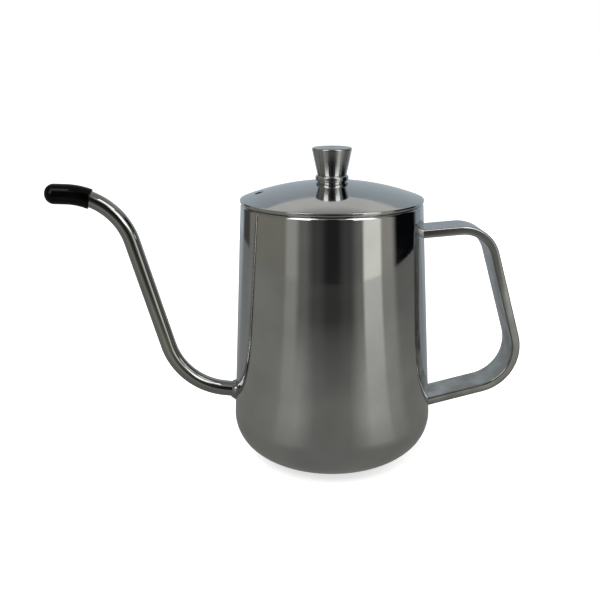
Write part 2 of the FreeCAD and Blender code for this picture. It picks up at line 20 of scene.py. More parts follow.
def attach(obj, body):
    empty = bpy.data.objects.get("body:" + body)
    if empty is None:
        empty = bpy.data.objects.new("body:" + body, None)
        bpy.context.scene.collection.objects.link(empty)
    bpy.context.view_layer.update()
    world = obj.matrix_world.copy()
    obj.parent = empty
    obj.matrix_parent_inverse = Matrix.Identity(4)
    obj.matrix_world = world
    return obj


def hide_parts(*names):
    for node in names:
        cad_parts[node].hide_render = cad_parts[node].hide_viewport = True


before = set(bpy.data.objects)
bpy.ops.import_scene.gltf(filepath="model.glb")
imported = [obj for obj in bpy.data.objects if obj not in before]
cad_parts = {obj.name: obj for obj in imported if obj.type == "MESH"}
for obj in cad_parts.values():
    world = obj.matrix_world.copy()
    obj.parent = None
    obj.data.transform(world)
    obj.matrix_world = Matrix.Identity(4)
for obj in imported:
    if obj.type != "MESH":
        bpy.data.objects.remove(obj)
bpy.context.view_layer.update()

log = logging.getLogger("kettle")

Colour = tuple[float, float, float]
Place = tuple[float, float, float]
Span = tuple[float, float]
Given = NodeSocket | Colour | float
Inputs = dict[str | int, Given]

MM = 0.001
MERGE_DISTANCE = 0.0005
SHARP_ANGLE = 38.0
WELD_GAP = 0.05
HOLE_FACETS = 64
QUARTER_TURN = math.pi / 2.0
WHITE: Colour = (1.0, 1.0, 1.0)


class Body(Enum):
    """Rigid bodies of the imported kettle."""

    KETTLE = "kettle"
    LID = "lid"
    TIP_CAP = "tip_cap"


class Slot(Enum):
    """Finishes that the record names."""

    BODY = "body_steel"
    SPOUT = "spout_steel"
    HANDLE = "handle_steel"
    LID = "lid_steel"
    KNOB = "knob_steel"
    CAP = "cap_rubber"


class Rounding(Enum):
    """What is rounded: corners of a flat section, or edges of a solid."""

    CORNERS = "VERTICES"
    EDGES = "EDGES"


class Maths(Enum):
    """Ways to work one value out from two."""

    ADD = "ADD"
    MULTIPLY = "MULTIPLY"
    LARGER = "MAXIMUM"


class Curve(Enum):
    """Ways in which one tone passes into the next."""

    EASED = "EASE"
    FLOWING = "B_SPLINE"


def round_off(
    mesh: BMesh, geom: Iterable[BMVert | BMEdge], width: float, kind: Rounding, steps: int = 3
) -> None:
    """Round corners, or edges whose faces are first turned the same way.

    Args:
        mesh: Mesh that holds them.
        geom: Corners or edges.
        width: Distance from them at which the rounding starts.
        kind: Which of the two they are.
        steps: Straight steps of the rounding.
    """
    if kind is Rounding.EDGES:
        bmesh.ops.recalc_face_normals(mesh, faces=mesh.faces[:])
    bmesh.ops.bevel(
        mesh,
        geom=list(geom),
        offset=width,
        offset_type="OFFSET",
        segments=steps,
        profile=0.5,
        affect=kind.value,
        clamp_overlap=kind is Rounding.EDGES,
        material=-1,
    )


class Lathe:
    """Section drawn in the XZ plane from lines and arcs, then turned about the upright axis."""

    def __init__(self, radius: float, height: float) -> None:
        """Start the section.

        Args:
            radius: Distance of its first point from the axis.
            height: Height of that point above the base.
        """
        self.mesh = bmesh.new()
        self.start = self.mesh.verts.new((radius, 0.0, height))
        self.end = self.start

    def line(self, radius: float, height: float, cuts: int = 0) -> BMVert:
        """Carry the section straight to a new corner.

        Args:
            radius: Distance of the corner from the axis.
            height: Height of the corner above the base.
            cuts: Rings put in along the line.

        Returns:
            The new corner.
        """
        step = (Vector((radius, 0.0, height)) - self.end.co) / (cuts + 1)
        for _ in range(cuts + 1):
            grown = bmesh.ops.extrude_vert_indiv(self.mesh, verts=[self.end])
            self.end = grown["verts"][0]
            bmesh.ops.translate(self.mesh, verts=[self.end], vec=step)
        return self.end

    def arc(self, radius: float, height: float, sweep: float, steps: int) -> BMVert:
        """Carry the section round a centre.

        Args:
            radius: Distance of the centre from the axis.
            height: Height of the centre above the base.
            sweep: Turn in degrees, positive from +X towards +Z.
            steps: Straight steps along the arc.

        Returns:
            The last point of the arc.
        """
        spun = bmesh.ops.spin(
            self.mesh,
            geom=[self.end],
            cent=(radius, 0.0, height),
            axis=(0.0, -1.0, 0.0),
            angle=math.radians(sweep),
            steps=steps,
        )
        self.end = next(item for item in spun["geom_last"] if isinstance(item, BMVert))
        return self.end

    def close(self) -> None:
        """Join the last point to the first."""
        self.mesh.edges.new((self.end, self.start))

    def soften(self, corners: Iterable[BMVert], radius: float, steps: int = 3) -> None:
        """Round corners of the section, from a distance on each side of them."""
        round_off(self.mesh, corners, radius, Rounding.CORNERS, steps)

    def turn(self, segments: int) -> BMesh:
        """Spin the section through a full turn.

        Args:
            segments: Facets round the axis.

        Returns:
            The turned mesh, in the section's own units.
        """
        bmesh.ops.spin(
            self.mesh,
            geom=self.mesh.verts[:] + self.mesh.edges[:],
            cent=(0.0, 0.0, 0.0),
            axis=(0.0, 0.0, 1.0),
            angle=math.tau,
            steps=segments,
            use_merge=True,
        )
        return self.mesh


@dataclass
class Sweep:
    """Closed ring of edges carried along straight runs and bends in the XZ plane.

    The first ring stands square to the heading. The spot and the heading move on with the last ring.
    """

    mesh: BMesh
    first: list[BMEdge]
    spot: Vector
    heading: Vector

    def __post_init__(self) -> None:
        """Take the first ring as the last one reached."""
        self.last = self.first

    @staticmethod
    def stand(spot: Vector, heading: Vector) -> Matrix:
        """Return the placement whose Z axis is the heading and whose X axis lies level."""
        return Matrix.Translation(spot) @ heading.to_track_quat("Z", "Y").to_matrix().to_4x4()

    @classmethod
    def round(cls, mesh: BMesh, radius: float, spot: Vector, heading: Vector, facets: int) -> "Sweep":
        """Start from a circle.

        Args:
            mesh: Mesh that the ring is drawn in.
            radius: Radius of the circle.
            spot: Centre of the circle.
            heading: Direction in which it sets off.
            facets: Edges round the circle.

        Returns:
            The sweep, ready to run and bend.
        """
        placed = cls.stand(spot, heading)
        drawn = bmesh.ops.create_circle(mesh, segments=facets, radius=radius, matrix=placed)
        ring = list({edge for vert in drawn["verts"] for edge in vert.link_edges})
        return cls(mesh, ring, spot, heading)

    @staticmethod
    def corners(ring: Iterable[BMEdge]) -> list[BMVert]:
        """Return the points of a ring, each once."""
        return list({vert for edge in ring for vert in edge.verts})

    def take_end(self, grown: list[object]) -> list[BMVert]:
        """Keep the new ring among freshly grown geometry.

        Args:
            grown: New points, edges and faces.

        Returns:
            The points of the new ring.
        """
        fresh = {item for item in grown if isinstance(item, BMVert)}
        self.last = [item for item in grown if isinstance(item, BMEdge) and set(item.verts) <= fresh]
        return list(fresh)

    def run(self, length: float, narrowing: float = 1.0) -> None:
        """Carry the ring straight on.

        Args:
            length: Length of the run.
            narrowing: Share of its width that the ring keeps.
        """
        verts = self.take_end(bmesh.ops.extrude_edge_only(self.mesh, edges=self.last)["geom"])
        bmesh.ops.translate(self.mesh, verts=verts, vec=self.heading * length)
        self.spot = self.spot + self.heading * length
        about = Matrix.Translation(-self.spot)
        bmesh.ops.scale(self.mesh, verts=verts, vec=(narrowing, narrowing, narrowing), space=about)

    def bend(self, radius: float, turn: float, steps: int) -> None:
        """Carry the ring round a bend.

        Args:
            radius: Radius of the centre line.
            turn: Degrees about +Y, which takes -X upward and +X downward.
            steps: Rings put in along the bend.
        """
        aside = Matrix.Rotation(math.copysign(QUARTER_TURN, turn), 3, "Y") @ self.heading
        centre = self.spot + aside * radius
        spun = bmesh.ops.spin(
            self.mesh,
            geom=self.corners(self.last) + self.last,
            cent=centre,
            axis=(0.0, 1.0, 0.0),
            angle=math.radians(turn),
            steps=steps,
        )
        self.take_end(spun["geom_last"])
        turned = Matrix.Rotation(math.radians(turn), 3, "Y")
        self.spot = centre + turned @ (self.spot - centre)
        self.heading = turned @ self.heading

    def bridge(self, inner: "Sweep") -> None:
        """Close the gap to an inner wall at both ends."""
        bmesh.ops.bridge_loops(self.mesh, edges=self.first + inner.first)
        bmesh.ops.bridge_loops(self.mesh, edges=self.last + inner.last)


def link(name: str, data: ID) -> Object:
    """Put a mesh, a light or a camera into the scene.

    Args:
        name: Name of the object.
        data: What the object shows.

    Returns:
        The object.
    """
    placed = bpy.data.objects.new(name, data)
    bpy.context.scene.collection.objects.link(placed)
    return placed


def link_mesh(name: str, mesh: BMesh) -> Object:
    """Put a drawn mesh into the scene.

    Args:
        name: Name of the object.
        mesh: Mesh in metres, which is freed.

    Returns:
        The object.
    """
    data = bpy.data.meshes.new(name)
    mesh.to_mesh(data)
    mesh.free()
    return link(name, data)


def shade(piece: Object) -> None:
    """Shade a piece smoothly, apart from its sharp edges."""
    piece.data.polygons.foreach_set("use_smooth", [True] * len(piece.data.polygons))
    piece.data.set_sharp_from_angle(angle=math.radians(SHARP_ANGLE))


def hand_over(mesh: BMesh, name: str) -> Object:
    """Turn a mesh drawn in millimetres into a smooth object in metres.

    Args:
        mesh: Closed mesh, which is freed.
        name: Name of the object.

    Returns:
        The object.
    """
    bmesh.ops.remove_doubles(mesh, verts=mesh.verts[:], dist=MERGE_DISTANCE)
    bmesh.ops.recalc_face_normals(mesh, faces=mesh.faces[:])
    bmesh.ops.scale(mesh, verts=mesh.verts[:], vec=(MM, MM, MM))
    piece = link_mesh(name, mesh)
    shade(piece)
    return piece


def drill(piece: Object, radius: float, spot: Vector, heading: Vector, reach: float) -> None:
    """Cut a round hole through a piece.

    Args:
        piece: Object to cut.
        radius: Radius of the hole.
        spot: Middle of the hole.
        heading: Direction of its axis.
        reach: Length of the cut.
    """
    mesh = bmesh.new()
    bmesh.ops.create_cone(
        mesh,
        cap_ends=True,
        segments=HOLE_FACETS,
        radius1=radius,
        radius2=radius,
        depth=reach,
        matrix=Sweep.stand(spot, heading),
    )
    bit = hand_over(mesh, f"{piece.name}_bit")
    cut = piece.modifiers.new("hole", "BOOLEAN")
    cut.operation = "DIFFERENCE"
    cut.solver = "EXACT"
    cut.object = bit
    graph = bpy.context.evaluated_depsgraph_get()
    drilled = bpy.data.meshes.new_from_object(piece.evaluated_get(graph), depsgraph=graph)
    piece.modifiers.clear()
    spare = (bit.data, piece.data)
    piece.data = drilled
    bpy.data.objects.remove(bit)
    for data in spare:
        bpy.data.meshes.remove(data)
    drilled.name = piece.name
    shade(piece)


def coat(piece: Object, *finishes: Material) -> None:
    """Give a piece its materials, in the order of its faces' numbers.

    Args:
        piece: Piece to coat.
        finishes: Its materials.
    """
    piece.data.materials.clear()
    for finish in finishes:
        piece.data.materials.append(finish)


def settle(piece: Object, body: Body, node: str, slot: Slot, *finishes: Material) -> None:
    """Coat a piece and seat it on its body, in the place of its solid.

    Args:
        piece: New piece.
        body: Body that it rides on.
        node: Solid that it stands for.
        slot: Finish that it takes; not used.
        finishes: Its materials.
    """
    coat(piece, *finishes)
    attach(piece, body.value)
    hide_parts(node)


class NodeBench:
    """Node tree, with short calls for the nodes that the finishes and the studio share."""

    def __init__(self, tree: NodeTree) -> None:
        """Take up a tree."""
        self.tree = tree

    def feed(self, node: Node, given: Inputs) -> None:
        """Feed the inputs of a node.

        Args:
            node: Node to feed.
            given: For each input, a socket to link or a value to set.
        """
        for name, value in given.items():
            socket = node.inputs[name]
            if isinstance(value, NodeSocket):
                self.tree.links.new(value, socket)
            else:
                socket.default_value = (*value, 1.0) if socket.type == "RGBA" else value

    def add(self, kind: str, given: Inputs, **choices: str) -> Node:
        """Add a node.

        Args:
            kind: Its kind, without the words that every shader node's kind starts with.
            given: For each input, a socket to link or a value to set.
            choices: Settings of the node itself.

        Returns:
            The node.
        """
        node = self.tree.nodes.new(f"ShaderNode{kind}")
        for name, choice in choices.items():
            setattr(node, name, choice)
        self.feed(node, given)
        return node

    def work(self, how: Maths, first: Given, second: Given) -> NodeSocket:
        """Return one value worked out from two."""
        return self.add("Math", {0: first, 1: second}, operation=how.value).outputs["Value"]

    def spread(self, source: NodeSocket, reach: Span, result: Span = (0.0, 1.0)) -> NodeSocket:
        """Carry a value from one range over to another.

        Args:
            source: Value to carry over.
            reach: Ends of its range.
            result: What the ends become.

        Returns:
            The new value, held within its range.
        """
        given = {"Value": source, "From Min": reach[0], "From Max": reach[1]}
        given |= {"To Min": result[0], "To Max": result[1]}
        return self.add("MapRange", given).outputs["Result"]

    def blend(self, share: NodeSocket, first: Given, second: Given) -> NodeSocket:
        """Return a colour between two, by the second one's share."""
        return self.add("Mix", {"Factor": share, 6: first, 7: second}, data_type="RGBA").outputs[2]

    def seen(self) -> NodeSocket:
        """Tell the rays that show things from the rest.

        Returns:
            1 for rays from the camera, a mirror or glass, and 0 for the rest.
        """
        path = self.add("LightPath", {}).outputs
        shown = self.work(Maths.LARGER, path["Is Camera Ray"], path["Is Glossy Ray"])
        return self.work(Maths.LARGER, shown, path["Is Transmission Ray"])


class FinishBench(NodeBench):
    """Node tree of one finish, laid out over the piece's own coordinates."""

    ring_octaves = 2.0

    def __init__(self, name: str) -> None:
        """Start a material with one shader.

        Args:
            name: Name of the material.
        """
        self.material = bpy.data.materials.new(name)
        self.material.use_nodes = True
        super().__init__(self.material.node_tree)
        self.tree.nodes.clear()
        self.shader = self.add("BsdfPrincipled", {})
        self.output = self.add("OutputMaterial", {"Surface": self.shader.outputs["BSDF"]})
        self.place = self.add("TexCoord", {}).outputs["Object"]

    def stretched(self, stretch: Place) -> NodeSocket:
        """Return the piece's coordinates, scaled along each axis."""
        return self.add("Mapping", {"Vector": self.place, "Scale": stretch}).outputs["Vector"]

    def height(self) -> NodeSocket:
        """Return the height above the base."""
        return self.add("SeparateXYZ", {"Vector": self.place}).outputs["Z"]

    def from_axis(self) -> NodeSocket:
        """Return the distance from the upright axis."""
        flat = self.stretched((1.0, 1.0, 0.0))
        return self.add("VectorMath", {0: flat}, operation="LENGTH").outputs["Value"]

    def noise(self, vector: NodeSocket, scale: float, octaves: float) -> NodeSocket:
        """Return a value near one half, in so many cells to the metre."""
        given = {"Vector": vector, "Scale": scale, "Detail": octaves}
        return self.add("TexNoise", given).outputs["Fac"]

    def rings(self, scale: float) -> NodeSocket:
        """Draw fine rings about the upright axis, as a turning or polishing tool leaves them.

        Args:
            scale: Cells to the metre.

        Returns:
            A value near one half.
        """
        along = self.work(Maths.ADD, self.from_axis(), self.height())
        given = {"W": along, "Scale": scale, "Detail": self.ring_octaves}
        return self.add("TexNoise", given, noise_dimensions="1D").outputs["Fac"]

    def relief(self, height: NodeSocket, depth: float, under: NodeSocket | None = None) -> NodeSocket:
        """Shape a normal by a height.

        Args:
            height: Height from 0 to 1.
            depth: Depth of the relief in metres.
            under: Normal of a coarser relief below this one.

        Returns:
            The normal.
        """
        below = {"Normal": under} if under else {}
        given = {"Height": height, "Strength": 1.0, "Distance": depth, **below}
        return self.add("Bump", given).outputs["Normal"]

    def finish(self, given: Inputs) -> Material:
        """Feed the shader and return the material."""
        self.feed(self.shader, given)
        return self.material

    def glow(self, colour: Given, strength: Given) -> Material:
        """Swap the shader for plain light.

        Args:
            colour: Colour of the light.
            strength: Strength of the light.

        Returns:
            The material.
        """
        light = self.add("Emission", {"Color": colour, "Strength": strength})
        self.tree.nodes.remove(self.shader)
        self.feed(self.output, {"Surface": light.outputs["Emission"]})
        return self.material


@dataclass(frozen=True)
class PolishedSteel:
    """Buffed sheet with faint smears, a little ripple and fine polish lines round the axis."""

    name: str
    dark: Colour = (0.52, 0.53, 0.54)
    light: Colour = (0.60, 0.60, 0.60)
    clean: float = 0.03
    smeared: float = 0.08
    smear_scale: float = 42.0
    wipe_scale: Place = (60.0, 60.0, 210.0)
    tint_reach: Span = (0.35, 0.65)
    smear_reach: Span = (0.18, 0.36)
    line_scale: float = 2600.0
    line_depth: float = 0.0000006
    ripple_scale: float = 16.0
    ripple_depth: float = 0.00004

    def material(self) -> Material:
        """Make the finish.

        Returns:
            The material.
        """
        bench = FinishBench(self.name)
        smears = bench.noise(bench.place, self.smear_scale, octaves=5.0)
        wipes = bench.noise(bench.stretched(self.wipe_scale), 1.0, octaves=4.0)
        patchy = bench.work(Maths.MULTIPLY, smears, wipes)
        waves = bench.noise(bench.place, self.ripple_scale, octaves=1.0)
        ripple = bench.relief(waves, self.ripple_depth)
        return bench.finish({
            "Metallic": 1.0,
            "Base Color": bench.blend(bench.spread(smears, self.tint_reach), self.dark, self.light),
            "Roughness": bench.spread(patchy, self.smear_reach, (self.clean, self.smeared)),
            "Normal": bench.relief(bench.rings(self.line_scale), self.line_depth, ripple),
        })


@dataclass(frozen=True)
class SatinSteel:
    """Strip polished along its length, with dull, darker and warmer patches that are strongest towards the
    bottom of the strip.
    """

    name: str
    clean: Colour = (0.545, 0.552, 0.555)
    dull: Colour = (0.355, 0.345, 0.325)
    smooth: float = 0.27
    rough: float = 0.35
    brush_scale: Place = (25.0, 2400.0, 25.0)
    brush_depth: float = 0.0000003
    patch_scale: float = 95.0
    patch_reach: Span = (0.32, 0.62)
    dull_below: float = 0.085
    dull_fades_above: float = 0.110
    least_dullness: float = 0.12

    def material(self) -> Material:
        """Make the finish.

        Returns:
            The material.
        """
        bench = FinishBench(self.name)
        brush = bench.noise(bench.stretched(self.brush_scale), 1.0, octaves=2.0)
        patches = bench.noise(bench.place, self.patch_scale, octaves=2.0)
        # Dull patches, darker and warmer: full below one height, faint above another.
        heights = (self.dull_below, self.dull_fades_above)
        low = bench.spread(bench.height(), heights, (1.0, self.least_dullness))
        dulled = bench.work(Maths.MULTIPLY, bench.spread(patches, self.patch_reach), low)
        return bench.finish({
            "Metallic": 1.0,
            "Base Color": bench.blend(dulled, self.clean, self.dull),
            "Roughness": bench.spread(dulled, (0.0, 1.0), (self.smooth, self.rough)),
            "Normal": bench.relief(brush, self.brush_depth),
        })


@dataclass(frozen=True)
class TurnedSteel:
    """Lathe-turned metal with the tool's rings, a light haze and streaks of light across the rings."""

    name: str
    dark: Colour = (0.45, 0.46, 0.47)
    light: Colour = (0.56, 0.56, 0.56)
    smooth: float = 0.06
    rough: float = 0.13
    ring_scale: float = 2400.0
    ring_depth: float = 0.0000010
    ring_share: float = 0.6
    haze_scale: float = 90.0
    haze_share: float = 0.4
    reach: Span = (0.36, 0.64)
    streak: float = 0.0
    streak_turn: float = 0.25

    def material(self) -> Material:
        """Make the finish.

        Returns:
            The material.
        """
        bench = FinishBench(self.name)
        rings = bench.rings(self.ring_scale)
        haze = bench.noise(bench.place, self.haze_scale, octaves=3.0)
        ringed = bench.work(Maths.MULTIPLY, rings, self.ring_share)
        hazed = bench.work(Maths.MULTIPLY, haze, self.haze_share)
        tint = bench.spread(bench.work(Maths.ADD, ringed, hazed), self.reach)
        return bench.finish({
            "Metallic": 1.0,
            "Anisotropic": self.streak,
            "Anisotropic Rotation": self.streak_turn,
            "Tangent": bench.add("Tangent", {}, direction_type="RADIAL", axis="Z").outputs["Tangent"],
            "Base Color": bench.blend(tint, self.dark, self.light),
            "Roughness": bench.spread(haze, self.reach, (self.smooth, self.rough)),
            "Normal": bench.relief(rings, self.ring_depth),
        })


@dataclass(frozen=True)
class SoftBlack:
    """Dipped soft plastic: near black, with a faint skin and a little dust."""

    name: str
    dark: Colour = (0.0005, 0.0005, 0.0006)
    light: Colour = (0.0014, 0.0014, 0.0015)
    smooth: float = 0.03
    rough: float = 0.06
    sheen_level: float = 0.15
    dust_scale: float = 260.0
    dust_reach: Span = (0.4, 0.7)
    rough_reach: Span = (0.35, 0.65)
    skin_scale: float = 1100.0
    skin_depth: float = 0.000002

    def material(self) -> Material:
        """Make the finish.

        Returns:
            The material.
        """
        bench = FinishBench(self.name)
        dust = bench.noise(bench.place, self.dust_scale, octaves=4.0)
        skin = bench.noise(bench.place, self.skin_scale, octaves=3.0)
        return bench.finish({
            "Specular IOR Level": self.sheen_level,
            "Base Color": bench.blend(bench.spread(dust, self.dust_reach), self.dark, self.light),
            "Roughness": bench.spread(dust, self.rough_reach, (self.smooth, self.rough)),
            "Normal": bench.relief(skin, self.skin_depth),
        })


@dataclass
class Vessel:
    """Drawn sheet vessel with a rounded bottom and a turned-in lip."""

    rim_height: float = 127.4
    mouth_radius: float = 43.47
    wall_taper: float = 3.0
    sheet: float = 0.8
    wall_bend_radius: float = 19.7
    base_bend_radius: float = 26.4
    bend_split: float = 44.0
    lip_width: float = 3.2
    lip_edge_radius: float = 1.6
    lip_softness: float = 0.25
    bottom_rings: int = 6
    base_bend_rings: int = 26
    wall_bend_rings: int = 28
    wall_rings: int = 40
    lip_rings: int = 14
    inner_lip_rings: int = 8
    inner_wall_bend_rings: int = 16
    inner_base_bend_rings: int = 14
    inner_bottom_rings: int = 4
    facets: int = 256

    def wall_radius(self, height: float) -> float:
        """Return the outer radius of the tapered wall at a height."""
        return self.mouth_radius + (self.rim_height - height) * math.tan(math.radians(self.wall_taper))

    def outward(self, centre: Span, radius: float) -> Span:
        """Return the point at a radius from a centre, square to the tapered wall."""
        taper = math.radians(self.wall_taper)
        return centre[0] + radius * math.cos(taper), centre[1] + radius * math.sin(taper)

    def build(self, spout: "Spout") -> Object:
        """Turn the shell and cut the hole that the spout passes through.

        Args:
            spout: Spout whose root goes through the wall.

        Returns:
            The shell.
        """
        taper = math.radians(self.wall_taper)
        split = math.radians(self.bend_split)
        ease = self.base_bend_radius - self.wall_bend_radius
        wall_z = self.base_bend_radius - ease * math.cos(split)
        wall_x = self.wall_radius(wall_z) - self.wall_bend_radius / math.cos(taper)
        flat = wall_x - ease * math.sin(split)
        lip_x = self.mouth_radius + self.lip_edge_radius * (math.tan(taper) - 1.0 / math.cos(taper))
        lip = (lip_x, self.rim_height - self.lip_edge_radius)
        mouth = self.mouth_radius - self.lip_width
        under_lip = self.rim_height - self.sheet
        inner_bend = self.wall_bend_radius - self.sheet
        wall_turn = 90.0 - self.bend_split + self.wall_taper
        lip_turn = 90.0 - self.wall_taper

        section = Lathe(0.0, 0.0)
        section.line(flat, 0.0, self.bottom_rings)
        section.arc(flat, self.base_bend_radius, self.bend_split, self.base_bend_rings)
        section.arc(wall_x, wall_z, wall_turn, self.wall_bend_rings)
        section.line(*self.outward(lip, self.lip_edge_radius), self.wall_rings)
        section.arc(*lip, lip_turn, self.lip_rings)
        corners = [section.line(mouth, self.rim_height), section.line(mouth, under_lip)]
        section.line(lip_x, under_lip)
        section.arc(*lip, -lip_turn, self.inner_lip_rings)
        section.line(*self.outward((wall_x, wall_z), inner_bend), self.wall_rings)
        section.arc(wall_x, wall_z, -wall_turn, self.inner_wall_bend_rings)
        section.arc(flat, self.base_bend_radius, -self.bend_split, self.inner_base_bend_rings)
        section.line(0.0, self.sheet, self.inner_bottom_rings)
        section.soften(corners, self.lip_softness)
        shell = hand_over(section.turn(self.facets), "kettle_shell")
        middle = spout.root_point(self, 0.0)
        drill(shell, spout.radius + WELD_GAP, middle, spout.root_heading(), spout.hole_reach)
        return shell

    def dress(self, shell: Object, outside: Material, inside: Material) -> None:
        """Polish the outside of the shell and leave the inside satin.

        Args:
            shell: Turned shell.
            outside: Finish of the outside.
            inside: Finish of the inside.
        """
        settle(shell, Body.KETTLE, "body_shell", Slot.BODY, outside, inside)
        middle = Vector((0.0, 0.0, self.rim_height * MM / 2.0))
        for face in shell.data.polygons:
            face.material_index = int(face.normal.dot(middle - face.center) > 0.0)


@dataclass
class Spout:
    """Bent thin tube, the flared ring at its root and the soft cap on its tip."""

    height: float = 33.8
    radius: float = 3.8
    wall: float = 0.6
    inset: float = 1.8
    root_angle: float = 8.4
    root_run: float = 5.6
    lower_bend: float = 32.4
    lower_rings: int = 36
    riser_angle: float = 74.6
    riser_run: float = 53.8
    riser_rings: int = 12
    upper_bend: float = 31.3
    upper_rings: int = 40
    end_angle: float = 2.6
    edge_softness: float = 0.15
    hole_reach: float = 6.0
    ring_length: float = 2.0
    ring_edge: float = 0.35
    ring_flare: float = 27.0
    cap_cover_angle: float = 20.5
    cap_rings: int = 9
    cap_wall: float = 0.65
    cap_gap: float = 0.3
    cap_end_gap: float = 0.6
    cap_nose_run: float = 9.4
    cap_nose_length: float = 4.0
    cap_nose_flat: float = 0.22
    cap_nose_fullness: float = 1.8
    cap_nose_rings: int = 14
    cap_end_slant: float = 7.0
    cap_lip_softness: float = 0.40
    facets: int = 64

    def root_heading(self) -> Vector:
        """Return the direction in which the tube leaves the wall, along -X and rising."""
        rise = math.radians(self.root_angle)
        return Vector((-math.cos(rise), 0.0, math.sin(rise)))

    def root_point(self, vessel: Vessel, distance: float) -> Vector:
        """Return the place on the tube's root at a distance out from the wall."""
        wall = Vector((-vessel.wall_radius(self.height), 0.0, self.height))
        return wall + self.root_heading() * distance

    def tube_wall(self, mesh: BMesh, vessel: Vessel, radius: float) -> Sweep:
        """Sweep one wall of the tube from its root to its tip.

        Args:
            mesh: Mesh that the wall is drawn in.
            vessel: Vessel that the tube leaves.
            radius: Radius of the wall.

        Returns:
            The finished sweep.
        """
        start = self.root_point(vessel, -self.inset)
        wall = Sweep.round(mesh, radius, start, self.root_heading(), self.facets)
        wall.run(self.inset)
        wall.run(self.root_run)
        wall.bend(self.lower_bend, self.riser_angle - self.root_angle, self.lower_rings)
        for _ in range(self.riser_rings):
            wall.run(self.riser_run / self.riser_rings)
        wall.bend(self.upper_bend, self.end_angle - self.riser_angle, self.upper_rings)
        return wall

    def build_tube(self, vessel: Vessel) -> tuple[Object, Vector, Vector]:
        """Build the open tube.

        Args:
            vessel: Vessel that the tube leaves.

        Returns:
            The tube, and the place and heading of its tip.
        """
        mesh = bmesh.new()
        outer = self.tube_wall(mesh, vessel, self.radius)
        inner = self.tube_wall(mesh, vessel, self.radius - self.wall)
        outer.bridge(inner)
        rims = outer.first + outer.last + inner.first + inner.last
        round_off(mesh, rims, self.edge_softness, Rounding.EDGES)
        return hand_over(mesh, "spout_bent_tube"), outer.spot, outer.heading

    def build_ring(self, vessel: Vessel) -> Object:
        """Build the flared ring that sits against the wall round the tube.

        Args:
            vessel: Vessel whose wall the ring meets.

        Returns:
            The ring.
        """
        mesh = bmesh.new()
        tip = self.root_point(vessel, self.ring_length)
        inward = -self.root_heading()
        narrow = self.radius + self.ring_edge
        flare = math.tan(math.radians(self.ring_flare))
        outer = Sweep.round(mesh, narrow, tip, inward, self.facets)
        outer.run(self.ring_length, 1.0 + self.ring_length * flare / narrow)
        inner = Sweep.round(mesh, self.radius + WELD_GAP, tip, inward, self.facets)
        inner.run(self.ring_length)
        for wall, spread in ((outer, flare), (inner, 0.0)):
            meet_wall(wall.corners(wall.last), wall.spot, inward, spread, vessel)
        outer.bridge(inner)
        round_off(mesh, outer.first, self.edge_softness, Rounding.EDGES)
        return hand_over(mesh, "spout_root_ring")

    def build_cap(self, tip: Vector, tip_heading: Vector) -> Object:
        """Build the soft cap that follows the tube's last bend.

        Args:
            tip: End of the tube's centre line.
            tip_heading: Direction of the tube there.

        Returns:
            The cap.
        """
        mesh = bmesh.new()
        bore = self.radius + self.cap_gap
        centre = tip + Matrix.Rotation(-QUARTER_TURN, 3, "Y") @ tip_heading * self.upper_bend
        back = Matrix.Rotation(math.radians(self.cap_cover_angle), 3, "Y")
        start = centre + back @ (tip - centre)
        outer = Sweep.round(mesh, bore + self.cap_wall, start, back @ tip_heading, self.facets)
        outer.bend(self.upper_bend, -self.cap_cover_angle, self.cap_rings)
        outer.run(self.cap_nose_run - self.cap_nose_length)
        self.round_nose(outer)
        bmesh.ops.edgeloop_fill(mesh, edges=outer.last)
        inner = Sweep.round(mesh, bore, start, back @ tip_heading, self.facets)
        inner.bend(self.upper_bend, -self.cap_cover_angle, self.cap_rings)
        inner.run(self.cap_end_gap)
        bmesh.ops.edgeloop_fill(mesh, edges=inner.last)
        ends = outer.first + inner.first
        self.slant_end(mesh, outer.corners(ends), start, centre)
        bmesh.ops.bridge_loops(mesh, edges=ends)
        round_off(mesh, ends, self.cap_lip_softness, Rounding.EDGES)
        return hand_over(mesh, "spout_soft_cap")

    def slant_end(self, mesh: BMesh, verts: Iterable[BMVert], start: Vector, centre: Vector) -> None:
        """Slide the points of the cap's open end along the bend, so that the cap is longer below.

        Args:
            mesh: Mesh of the cap.
            verts: Points of the open end.
            start: Middle of the open end.
            centre: Centre of the tube's bend.
        """
        inward = (centre - start).normalized()
        for vert in verts:
            below = (vert.co - start).dot(inward)
            slide = below * math.tan(math.radians(self.cap_end_slant)) / (self.upper_bend - below)
            bmesh.ops.rotate(mesh, verts=[vert], cent=centre, matrix=Matrix.Rotation(slide, 3, "Y"))

    def round_nose(self, skin: Sweep) -> None:
        """Draw the cap's skin in to a rounded nose.

        Args:
            skin: Sweep of the cap's outside.
        """
        width = 1.0
        reached = 0.0
        for step in range(1, self.cap_nose_rings + 1):
            share = math.sin(QUARTER_TURN * step / self.cap_nose_rings)
            drawn = (1.0 - share**self.cap_nose_fullness) ** (1.0 / self.cap_nose_fullness)
            next_width = self.cap_nose_flat + (1.0 - self.cap_nose_flat) * drawn
            next_reach = self.cap_nose_length * share
            skin.run(next_reach - reached, next_width / width)
            width = next_width
            reached = next_reach

    def dress(self, tube: Object, ring: Object, cap: Object, steel: Material, soft: Material) -> None:
        """Finish the tube and ring in steel and the cap in soft black.

        Args:
            tube: Bent tube.
            ring: Ring at the root.
            cap: Cap on the tip.
            steel: Finish of the metal.
            soft: Finish of the cap.
        """
        settle(tube, Body.KETTLE, "spout_tube", Slot.SPOUT, steel)
        settle(ring, Body.KETTLE, "spout_collar", Slot.SPOUT, steel)
        settle(cap, Body.TIP_CAP, "spout_tip_cap", Slot.CAP, soft)


